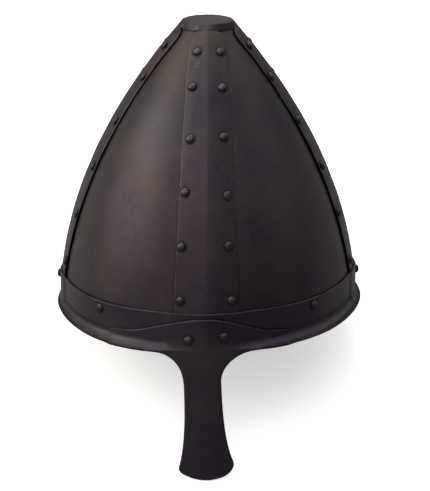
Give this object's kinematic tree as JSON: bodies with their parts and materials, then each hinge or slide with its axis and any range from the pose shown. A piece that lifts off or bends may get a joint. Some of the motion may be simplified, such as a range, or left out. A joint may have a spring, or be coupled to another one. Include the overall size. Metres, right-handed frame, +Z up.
{
  "type": "riveted iron nasal helmet",
  "caption": "Conical iron helmet: panels held by riveted keeled bands, a crown cap, a brow band, and a flared rim with a nasal guard",
  "frame": {"origin": "middle of the bounding box, on the surface that the helmet rests on", "axes": "+Z up, -Y the way the nasal guard faces, +X to the right of someone who looks at the face"},
  "size_m": [0.2094, 0.2564, 0.2273],
  "materials": {
    "panel_iron": "satin blackened iron sheet, faint warm brown bloom and fine scratches",
    "band_iron": "satin blackened iron, brighter along rubbed edges and on the rivet heads",
    "brow_iron": "satin blackened iron, brighter along the upper edge",
    "rim_iron": "satin blackened iron with a bright flared lip",
    "cap_iron": "satin blackened iron, worn a little brighter on top"
  },
  "bodies": {
    "root": {"panel_front_left": "panel_iron", "panel_front_right": "panel_iron", "panel_back_right": "panel_iron", "panel_back_left": "panel_iron", "front_band": "band_iron", "right_band": "band_iron", "back_band": "band_iron", "left_band": "band_iron", "brow_band": "brow_iron", "nasal_rim": "rim_iron", "crown_cap": "cap_iron"}
  },
  "joints": []
}
